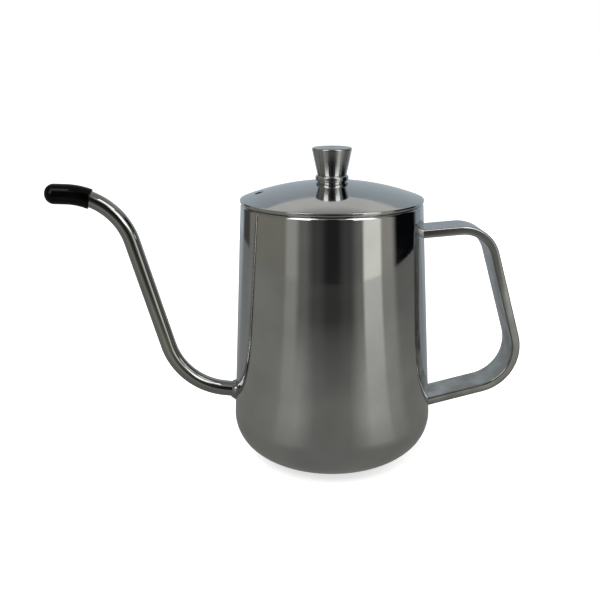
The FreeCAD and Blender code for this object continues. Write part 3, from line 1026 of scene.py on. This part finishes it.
def meet_wall(
    verts: Iterable[BMVert], spot: Vector, heading: Vector, spread: float, vessel: Vessel, passes: int = 6
) -> None:
    """Slide the end points of a piece along its length until they sit on the vessel's wall.

    Args:
        verts: Points of the end ring.
        spot: Centre of the end ring.
        heading: Direction in which the points slide.
        spread: Widening of the piece for each step along the heading.
        vessel: Vessel whose wall they meet.
        passes: Times that each point is brought closer.
    """
    for vert in verts:
        slide = heading + (vert.co - spot).normalized() * spread
        for _ in range(passes):
            clear = math.hypot(vert.co.x, vert.co.y) - vessel.wall_radius(vert.co.z) - WELD_GAP
            vert.co -= slide * (clear / heading.x) * math.copysign(1.0, vert.co.x)


@dataclass
class Handle:
    """Flat strip bent to a D, welded to the wall at both ends."""

    width: float = 18.0
    thickness: float = 4.2
    edge_radius: float = 0.9
    edge_steps: int = 6
    edge_lean: float = 0.5
    broad_cuts: int = 15
    drop: float = 15.0
    rise_angle: float = 3.9
    embed: float = 3.0
    arm_run: float = 17.6
    upper_bend: float = 16.6
    upper_rings: int = 32
    grip_lean: float = 16.0
    grip_rings: int = 6
    lower_bend: float = 21.1
    lower_rings: int = 36
    foot_angle: float = 12.7
    foot_height: float = 26.5
    weld_land: float = 1.0

    @property
    def lower_turn(self) -> float:
        """Degrees of the bend from the grip to the lower arm."""
        return 90.0 + self.grip_lean - self.foot_angle

    def section(self, mesh: BMesh, spot: Vector, heading: Vector) -> list[BMEdge]:
        """Draw the rounded rectangle of the strip.

        Args:
            mesh: Mesh that it is drawn in.
            spot: Middle of the section.
            heading: Direction in which the strip sets off.

        Returns:
            The edges of the section.
        """
        placed = Sweep.stand(spot, heading) @ Matrix.Diagonal((self.width, self.thickness, 1.0, 1.0))
        bmesh.ops.create_grid(mesh, x_segments=1, y_segments=1, size=0.5, matrix=placed)
        round_off(mesh, mesh.verts[:], self.edge_radius, Rounding.CORNERS, self.edge_steps)
        broad = [edge for edge in mesh.edges if edge.calc_length() > self.width / 2.0]
        bmesh.ops.subdivide_edges(mesh, edges=broad, cuts=self.broad_cuts)
        crossing = [edge for edge in mesh.edges if not edge.is_boundary]
        bmesh.ops.delete(mesh, geom=crossing, context="EDGES")
        return mesh.edges[:]

    def wall_spot(self, vessel: Vessel, height: float, angle: float) -> Vector:
        """Return the place inside the wall from which an arm sets out at an angle."""
        drop = self.embed * math.tan(math.radians(angle))
        return Vector((vessel.wall_radius(height) - self.embed, 0.0, height - drop))

    def straight_runs(self, grip: Sweep, foot: Vector) -> tuple[float, float]:
        """Work out the straight lengths that bring the strip back to the wall.

        Args:
            grip: Sweep at the end of the upper bend.
            foot: Place inside the wall where the strip ends.

        Returns:
            The length of the grip and of the lower arm.
        """
        aside = Matrix.Rotation(QUARTER_TURN, 3, "Y")
        down = grip.heading
        back = Matrix.Rotation(math.radians(self.lower_turn), 3, "Y") @ down
        bend = (aside @ down - aside @ back) * self.lower_bend
        rest = foot - grip.spot - bend
        spread = down.x * back.z - down.z * back.x
        grip_run = (rest.x * back.z - rest.z * back.x) / spread
        foot_run = (down.x * rest.z - down.z * rest.x) / spread
        return grip_run, foot_run

    def build(self, vessel: Vessel) -> Object:
        """Bend the strip and seat its ends on the wall.

        Args:
            vessel: Vessel that the strip is welded to.

        Returns:
            The strip.
        """
        mesh = bmesh.new()
        rise = math.radians(self.rise_angle)
        start = self.wall_spot(vessel, vessel.rim_height - self.drop, self.rise_angle)
        foot = self.wall_spot(vessel, self.foot_height, self.foot_angle)
        heading = Vector((math.cos(rise), 0.0, math.sin(rise)))
        strip = Sweep(mesh, self.section(mesh, start, heading), start, heading)
        strip.run(self.embed / math.cos(rise) + self.weld_land)
        strip.run(self.arm_run - self.weld_land)
        strip.bend(self.upper_bend, self.rise_angle + 90.0 - self.grip_lean, self.upper_rings)
        grip_run, foot_run = self.straight_runs(strip, foot)
        for _ in range(self.grip_rings):
            strip.run(grip_run / self.grip_rings)
        strip.bend(self.lower_bend, self.lower_turn, self.lower_rings)
        buried = self.embed / math.cos(math.radians(self.foot_angle)) + self.weld_land
        strip.run(foot_run - buried)
        strip.run(buried)
        for ring, way in ((strip.first, heading), (strip.last, strip.heading)):
            meet_wall(strip.corners(ring), start, way, 0.0, vessel)
            bmesh.ops.edgeloop_fill(mesh, edges=ring)
        return hand_over(mesh, "handle_bent_strip")

    def dress(self, strip: Object, broad: Material, edge: Material) -> None:
        """Finish the strip and seat it on the kettle.

        Args:
            strip: Bent strip.
            broad: Finish of its broad inner and outer faces.
            edge: Finish of its narrow front and back faces, which are polished, with a darker colour that is
                painted shade.
        """
        settle(strip, Body.KETTLE, "handle_strip", Slot.HANDLE, broad, edge)
        for face in strip.data.polygons:
            # Faces turned to the front and back take the darker finish: polish, with painted shade in its
            # colour.
            face.material_index = int(abs(face.normal.y) > self.edge_lean)


@dataclass
class Lid:
    """Shallow domed lid with its locating ring, its vent and the turned knob."""

    seat: float = 127.4
    outer_radius: float = 43.67
    sheet: float = 0.8
    hem_height: float = 1.7
    hem_width: float = 2.6
    hem_softness: float = 0.14
    hem_seam: float = 0.85
    hem_seam_steps: int = 5
    edge_steps: int = 4
    dome_rise: float = 8.1
    dome_rings: int = 44
    inner_dome_rings: int = 24
    vent_radius: float = 2.1
    vent_offset: float = 34.6
    screw_hole: float = 2.1
    skirt_outer: float = 39.87
    skirt_sheet: float = 0.6
    skirt_depth: float = 8.0
    skirt_softness: float = 0.2
    skirt_rings: int = 4
    collar_radius: float = 7.85
    collar_height: float = 2.8
    collar_edge: float = 0.4
    collar_groove: float = 0.8
    knob_foot_radius: float = 6.85
    knob_top_radius: float = 9.5
    knob_height: float = 13.0
    knob_edge: float = 0.5
    knob_softness: float = 0.18
    knob_hole_depth: float = 9.0
    knob_side_rings: int = 10
    knob_top_rings: int = 5
    facets: int = 192

    @property
    def dome_radius(self) -> float:
        """Radius of the dome's outer sphere."""
        return (self.outer_radius**2 + self.dome_rise**2) / (2.0 * self.dome_rise)

    @property
    def dome_top(self) -> float:
        """Height of the middle of the dome."""
        return self.seat + self.hem_height + self.dome_rise

    @property
    def dome_centre(self) -> float:
        """Height of the dome's centre."""
        return self.dome_top - self.dome_radius

    def dome_height(self, radius: float, sphere: float) -> float:
        """Return the height of a sphere about the dome's centre at a radius."""
        return self.dome_centre + math.sqrt(sphere**2 - radius**2)

    def turn_from_hole(self, radius: float, sphere: float) -> float:
        """Return the degrees on a sphere about the dome's centre from the screw's hole to a radius."""
        return math.degrees(math.asin(radius / sphere) - math.asin(self.screw_hole / sphere))

    def build_dome(self) -> Object:
        """Turn the domed sheet and drill its vent.

        Returns:
            The dome.
        """
        outer = self.dome_radius
        inner = outer - self.sheet
        inner_edge = self.outer_radius - self.hem_width
        section = Lathe(self.screw_hole, self.dome_height(self.screw_hole, outer))
        sweep = self.turn_from_hole(self.outer_radius, outer)
        edge = section.arc(0.0, self.dome_centre, -sweep, self.dome_rings)
        hem = section.line(self.outer_radius, self.seat)
        seat_inner = section.line(inner_edge, self.seat)
        section.line(inner_edge, self.dome_height(inner_edge, inner))
        sweep_in = self.turn_from_hole(inner_edge, inner)
        section.arc(0.0, self.dome_centre, sweep_in, self.inner_dome_rings)
        section.close()
        section.soften([edge], self.hem_softness, self.edge_steps)
        section.soften([hem], self.hem_seam, self.hem_seam_steps)
        section.soften([seat_inner], self.hem_softness)
        dome = hand_over(section.turn(self.facets), "lid_domed_sheet")
        middle = Vector((-self.vent_offset, 0.0, self.dome_height(self.vent_offset, outer)))
        drill(dome, self.vent_radius, middle, Vector((0.0, 0.0, 1.0)), self.dome_rise)
        return dome

    def build_skirt(self) -> Object:
        """Turn the ring that drops into the mouth.

        Returns:
            The ring.
        """
        low = self.seat - self.skirt_depth
        high = self.dome_height(self.skirt_outer, self.dome_radius - self.sheet) - WELD_GAP
        inner = self.skirt_outer - self.skirt_sheet
        section = Lathe(inner, high)
        corners = [section.line(inner, low, self.skirt_rings), section.line(self.skirt_outer, low)]
        section.line(self.skirt_outer, high, self.skirt_rings)
        section.close()
        section.soften(corners, self.skirt_softness)
        return hand_over(section.turn(self.facets), "lid_locating_ring")

    def build_collar(self) -> Object:
        """Turn the ring between dome and knob, with a groove above its fitted foot.

        Returns:
            The collar.
        """
        top = self.dome_top + self.collar_height
        waist = self.collar_radius - self.collar_groove
        foot = self.dome_height(waist, self.dome_radius)
        section = Lathe(self.screw_hole, self.dome_top)
        section.line(waist, foot)
        section.line(waist, foot + self.collar_groove)
        corners = [
            section.line(self.collar_radius, foot + self.collar_groove),
            section.line(self.collar_radius, top - self.collar_edge),
            section.line(self.collar_radius - self.collar_edge, top),
        ]
        section.line(self.screw_hole, top)
        section.close()
        section.soften(corners, self.knob_softness)
        return hand_over(section.turn(self.facets), "knob_turned_collar")

    def build_knob(self) -> Object:
        """Turn the knob, which widens upward and has a blind hole for its screw.

        Returns:
            The knob.
        """
        low = self.dome_top + self.collar_height
        top = low + self.knob_height
        section = Lathe(0.0, low + self.knob_hole_depth)
        section.line(self.screw_hole, low + self.knob_hole_depth)
        section.line(self.screw_hole, low)
        corners = [
            section.line(self.knob_foot_radius, low),
            section.line(self.knob_top_radius, top - self.knob_edge, self.knob_side_rings),
            section.line(self.knob_top_radius - self.knob_edge, top),
        ]
        section.line(0.0, top, self.knob_top_rings)
        section.soften(corners, self.knob_softness)
        return hand_over(section.turn(self.facets), "knob_turned_grip")

    def dress(
        self, dome: Object, skirt: Object, collar: Object, knob: Object, sheet: Material, turned: Material
    ) -> None:
        """Finish the lid's pieces and seat them on the lid's body.

        Args:
            dome: Domed sheet.
            skirt: Locating ring.
            collar: Ring under the knob.
            knob: Knob.
            sheet: Finish of the sheet metal.
            turned: Finish of the turned metal.
        """
        settle(dome, Body.LID, "lid_dome", Slot.LID, sheet)
        settle(skirt, Body.LID, "lid_skirt", Slot.LID, sheet)
        settle(collar, Body.LID, "knob_collar", Slot.KNOB, turned)
        settle(knob, Body.LID, "knob", Slot.KNOB, turned)


@dataclass(frozen=True)
class Band:
    """Upright stretch of the studio, by its angles from the camera's side, and its tones.

    The wall's tone is a colour. The table's tones, far from the kettle and near it, are painted reflections
    of the walls in the table, greys with a cast. The tone of the ceiling above is a grey too.
    """

    start: float
    end: float
    wall: Colour
    far: float
    near: float
    above: float
    cast: Colour = (1.0, 1.0, 0.92)


@dataclass(frozen=True)
class Lamp:
    """Soft square lamp that points at the kettle, and that no mirror shows."""

    name: str
    place: Place
    watts: float
    side: float = 0.8
    aim_height: float = 0.07

    def hang(self) -> None:
        """Hang the lamp."""
        light = bpy.data.lights.new(self.name, "AREA")
        light.size = self.side
        light.energy = self.watts
        lamp = link(self.name, light)
        lamp.location = self.place
        aim = Vector((0.0, 0.0, self.aim_height)) - Vector(self.place)
        lamp.rotation_euler = aim.to_track_quat("-Z", "Y").to_euler()
        lamp.visible_glossy = False


@dataclass
class Studio:
    """Pale floor, soft lamps, the toned surroundings that the steel mirrors, and the camera."""

    bands: tuple[Band, ...] = (
        Band(-36.0, -32.0, (0.18, 0.18, 0.165), 0.17, 0.36, 1.00),
        Band(-20.0, -16.0, (0.068, 0.068, 0.066), 0.085, 0.21, 0.60),
        Band(-4.0, 5.0, (0.020, 0.020, 0.020), 0.050, 0.18, 0.03),
        Band(16.0, 20.0, (0.065, 0.065, 0.063), 0.075, 0.20, 0.60),
        Band(32.0, 34.5, (0.18, 0.18, 0.17), 0.21, 0.40, 1.00),
        Band(38.5, 57.0, (0.93, 0.93, 0.84), 0.66, 0.49, 0.70),
        Band(61.0, 73.0, (0.34, 0.33, 0.30), 0.32, 0.34, 0.30),
        Band(83.0, 116.0, (0.002, 0.003, 0.004), 0.17, 0.22, 0.20),
        Band(126.0, 134.0, (0.30, 0.35, 0.38), 0.29, 0.29, 0.50, (0.92, 1.0, 1.05)),
        Band(142.0, 218.0, (0.44, 0.50, 0.54), 0.40, 0.34, 0.60, (0.92, 1.0, 1.05)),
        Band(227.5, 240.0, (0.07, 0.07, 0.066), 0.22, 0.24, 0.45, (0.96, 1.0, 1.0)),
        Band(246.0, 302.0, (0.245, 0.235, 0.20), 0.24, 0.235, 0.25),
        Band(308.0, 316.0, (0.42, 0.42, 0.38), 0.34, 0.33, 0.70),
    )
    lamps: tuple[Lamp, ...] = (
        Lamp("key_lamp", (-0.35, -0.55, 0.95), 9.0),
        Lamp("fill_lamp", (0.75, -0.10, 0.70), 4.0),
    )
    ring_radius: float = 0.68
    ring_height: float = 0.62
    ring_facets: int = 128
    wall_fades_above: float = 0.15
    wall_fades_to: float = 0.74
    # Painted shade on the table close round the kettle, and the distances from the axis over which it gives
    # way.
    kettle_shade_tone: Colour = (0.20, 0.20, 0.186)
    kettle_shade_fade: Span = (0.07, 0.15)
    far_fade: Span = (0.19, 0.46)
    zenith_tone: float = 0.30
    zenith_fade: Span = (0.34, 0.46)
    ceiling_cast: Colour = (1.0, 1.0, 0.95)
    light_card_angle: float = 41.0
    light_card_width: float = 0.34
    light_card_foot: float = 0.27
    light_card_reach: float = 0.95
    light_card_strength: float = 2.6
    softbox_strength: float = 2.8
    softbox_width: float = 0.26
    softbox_depth: float = 0.22
    softbox_forward: float = 0.30
    softbox_aside: float = 0.27
    softbox_drop: float = 0.02
    floor_level: float = -0.001
    floor_radius: float = 6.0
    floor_tone: Colour = (0.86, 0.86, 0.86)
    floor_lift: float = 0.62
    disc_facets: int = 96
    world_strength: float = 0.55
    camera_side: float = -96.0
    camera_place: Place = (-0.04224, -0.40186, 0.19315)
    camera_tilt: float = 74.17
    camera_turn: float = -6.0
    camera_lens: float = 51.14
    camera_sensor: float = 36.0
    camera_shift: float = -0.0533
    camera_clip: float = 0.01

    @staticmethod
    def toned(grey: float, cast: Colour) -> Colour:
        """Return a grey with a cast of colour."""
        return (grey * cast[0], grey * cast[1], grey * cast[2])

    def ramp_spot(self, angle: float) -> float:
        """Return where an angle from the camera's side falls on a full turn from 0 to 1."""
        return ((self.camera_side + angle) / 360.0 + 0.5) % 1.0

    def lay_round(self, bench: FinishBench, tones: list[Colour], curve: Curve = Curve.EASED) -> NodeSocket:
        """Lay one tone for each band round the upright axis.

        Args:
            bench: Bench of the card's light.
            tones: Tones in the order of the bands.
            curve: How one tone passes into the next.

        Returns:
            The colour of the band at each angle.
        """
        turn = bench.add("TexGradient", {"Vector": bench.place}, gradient_type="RADIAL")
        ramp = bench.add("ValToRGB", {"Fac": turn.outputs["Fac"]})
        ramp.color_ramp.interpolation = curve.value
        stops = sorted(
            (self.ramp_spot(angle), tone)
            for band, tone in zip(self.bands, tones)
            for angle in (band.start, band.end)
        )
        elements = ramp.color_ramp.elements
        elements.remove(elements[-1])
        elements[0].position = stops[0][0]
        elements[0].color = (*stops[0][1], 1.0)
        for spot, tone in stops[1:]:
            elements.new(spot).color = (*tone, 1.0)
        return ramp.outputs["Color"]

    def card(self, name: str, mesh: BMesh, finish: Material) -> None:
        """Stand up a card that only mirrors and glass see.

        Args:
            name: Name of the card.
            mesh: Mesh of the card in metres, which is freed.
            finish: Its light.
        """
        card = link_mesh(name, mesh)
        coat(card, finish)
        card.visible_camera = False
        card.visible_diffuse = False
        card.visible_shadow = False

    def panel(self, name: str, placed: Matrix, strength: float) -> None:
        """Put up a bright panel.

        Args:
            name: Name of the panel.
            placed: Its place, turn and size.
            strength: Strength of its light.
        """
        mesh = bmesh.new()
        bmesh.ops.create_grid(mesh, x_segments=1, y_segments=1, size=0.5, matrix=placed)
        self.card(name, mesh, FinishBench(name).glow(WHITE, strength))

    def disc(self, radius: float, height: float) -> BMesh:
        """Draw a level disc.

        Args:
            radius: Its radius in metres.
            height: Its height in metres.

        Returns:
            The mesh of the disc.
        """
        mesh = bmesh.new()
        placed = Matrix.Translation((0.0, 0.0, height))
        bmesh.ops.create_circle(mesh, cap_ends=True, segments=self.disc_facets, radius=radius, matrix=placed)
        return mesh

    def facing(self, angle: float) -> Matrix:
        """Return the turn from the front to an angle from the camera's side."""
        return Matrix.Rotation(math.radians(self.camera_side + 90.0 + angle), 4, "Z")

    def build_ring(self) -> None:
        """Stand the toned bands in a ring round the kettle, a little darker towards the top."""
        bench = FinishBench("studio_bands")
        heights = (self.wall_fades_above, self.ring_height)
        fade = bench.spread(bench.height(), heights, (1.0, self.wall_fades_to))
        tones = self.lay_round(bench, [band.wall for band in self.bands])
        wall = Lathe(self.ring_radius, self.floor_level)
        wall.line(self.ring_radius, self.floor_level + self.ring_height)
        self.card("studio_ring", wall.turn(self.ring_facets), bench.glow(tones, fade))

    def build_table(self) -> None:
        """Lay a glowing table top with painted reflections of the bands, which fade towards the kettle, and
        painted shade close round the kettle.
        """
        bench = FinishBench("studio_table")
        away = bench.from_axis()
        # Painted reflections of the bands in the table, far from the kettle and near it.
        far = self.lay_round(bench, [self.toned(band.far, band.cast) for band in self.bands])
        near_tones = [self.toned(band.near, band.cast) for band in self.bands]
        near = self.lay_round(bench, near_tones, Curve.FLOWING)
        # Painted shade: a flat darker tone close round the kettle.
        inner = bench.blend(bench.spread(away, self.kettle_shade_fade), self.kettle_shade_tone, near)
        light = bench.blend(bench.spread(away, self.far_fade), inner, far)
        top = self.disc(self.ring_radius, self.floor_level / 2.0)
        self.card("studio_table", top, bench.glow(light, 1.0))

    def build_ceiling(self) -> None:
        """Hang a warm grey ceiling over the ring, darker in its middle."""
        bench = FinishBench("studio_ceiling")
        tones = [self.toned(band.above, self.ceiling_cast) for band in self.bands]
        middle = self.toned(self.zenith_tone, self.ceiling_cast)
        share = bench.spread(bench.from_axis(), self.zenith_fade)
        light = bench.blend(share, middle, self.lay_round(bench, tones))
        self.card("studio_ceiling", self.disc(self.ring_radius, self.ring_height), bench.glow(light, 1.0))

    def build_panels(self) -> None:
        """Hang two softboxes above, towards the camera, and stand two light cards at its sides."""
        sides = (("left", -1.0), ("right", 1.0))
        size = Matrix.Diagonal((self.softbox_width, self.softbox_depth, 1.0, 1.0))
        height = self.ring_height - self.softbox_drop
        for side, way in sides:
            spot = Matrix.Translation((way * self.softbox_aside, -self.softbox_forward, height))
            self.panel(f"studio_softbox_{side}", self.facing(0.0) @ spot @ size, self.softbox_strength)
        rise = self.ring_height - self.light_card_foot
        size = Matrix.Diagonal((self.light_card_width, rise, 1.0, 1.0))
        reach = self.ring_radius * self.light_card_reach
        spot = Matrix.Translation((0.0, -reach, self.light_card_foot + rise / 2.0))
        upright = Matrix.Rotation(QUARTER_TURN, 4, "X")
        for side, way in sides:
            placed = self.facing(way * self.light_card_angle) @ spot @ upright @ size
            self.panel(f"studio_light_{side}", placed, self.light_card_strength)

    def build_floor(self) -> None:
        """Lay the pale floor, which keeps the kettle's shadow."""
        bench = FinishBench("studio_floor")
        finish = bench.finish({
            "Base Color": self.floor_tone,
            "Roughness": 1.0,
            "Specular IOR Level": 0.0,
            "Emission Color": WHITE,
            "Emission Strength": bench.work(Maths.MULTIPLY, bench.seen(), self.floor_lift),
        })
        floor = link_mesh("studio_floor", self.disc(self.floor_radius, self.floor_level))
        coat(floor, finish)

    def build_world(self) -> None:
        """Make the world white to the camera and soft to everything else."""
        world = bpy.data.worlds.new("studio_world")
        bpy.context.scene.world = world
        world.use_nodes = True
        bench = NodeBench(world.node_tree)
        strength = bench.spread(bench.seen(), (0.0, 1.0), (self.world_strength, 1.0))
        bench.feed(world.node_tree.nodes["Background"], {"Color": WHITE, "Strength": strength})

    def build_camera(self) -> None:
        """Set the camera where the kettle is seen from a little above, from its front."""
        data = bpy.data.cameras.new("kettle_camera")
        data.lens = self.camera_lens
        data.sensor_width = self.camera_sensor
        data.shift_x = self.camera_shift
        data.clip_start = self.camera_clip
        camera = link("kettle_camera", data)
        camera.location = self.camera_place
        camera.rotation_euler = (math.radians(self.camera_tilt), 0.0, math.radians(self.camera_turn))
        bpy.context.scene.camera = camera

    def build(self) -> None:
        """Set up the whole studio."""
        bpy.context.scene.view_settings.view_transform = "Standard"
        self.build_world()
        self.build_floor()
        self.build_ring()
        self.build_table()
        self.build_ceiling()
        self.build_panels()
        for lamp in self.lamps:
            lamp.hang()
        self.build_camera()


def main() -> None:
    """Build the studio and every piece of the kettle, in order."""
    logging.basicConfig(level=logging.INFO, format="%(name)s %(message)s")
    Studio().build()

    body_steel = PolishedSteel("body_polish").material()
    lid_steel = PolishedSteel("lid_polish", clean=0.05, smeared=0.11).material()
    spout_steel = PolishedSteel(
        "spout_polish",
        dark=(0.37, 0.38, 0.37),
        light=(0.45, 0.45, 0.43),
        clean=0.05,
        smeared=0.10,
        ripple_depth=0.0,
    ).material()
    inner_steel = TurnedSteel(
        "inside_satin", dark=(0.62, 0.63, 0.63), light=(0.70, 0.70, 0.69), smooth=0.30, rough=0.42
    ).material()
    turned_steel = TurnedSteel(
        "knob_turned", smooth=0.11, rough=0.16, ring_depth=0.0000004, streak=1.0
    ).material()
    handle_satin = SatinSteel("handle_brushed").material()
    # Narrow faces of the strip: polished, and darker in colour as painted shade.
    handle_edge_shaded = SatinSteel(
        "handle_edge_shaded", clean=(0.46, 0.47, 0.47), dull=(0.34, 0.34, 0.33), smooth=0.08, rough=0.13
    ).material()
    fastener_steel = TurnedSteel("fastener_steel", smooth=0.2, rough=0.32).material()
    cap_black = SoftBlack("cap_soft_black").material()

    spout = Spout()
    vessel = Vessel()
    handle = Handle()
    lid = Lid()

    shell = vessel.build(spout)
    vessel.dress(shell, body_steel, inner_steel)
    tube, tip, tip_heading = spout.build_tube(vessel)
    ring = spout.build_ring(vessel)
    cap = spout.build_cap(tip, tip_heading)
    spout.dress(tube, ring, cap, spout_steel, cap_black)
    strip = handle.build(vessel)
    handle.dress(strip, handle_satin, handle_edge_shaded)
    dome, skirt = lid.build_dome(), lid.build_skirt()
    collar, knob = lid.build_collar(), lid.build_knob()
    lid.dress(dome, skirt, collar, knob, lid_steel, turned_steel)
    for name in ("knob_washer", "knob_screw"):
        coat(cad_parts[name], fastener_steel)


if __name__ == "__main__":
    main()
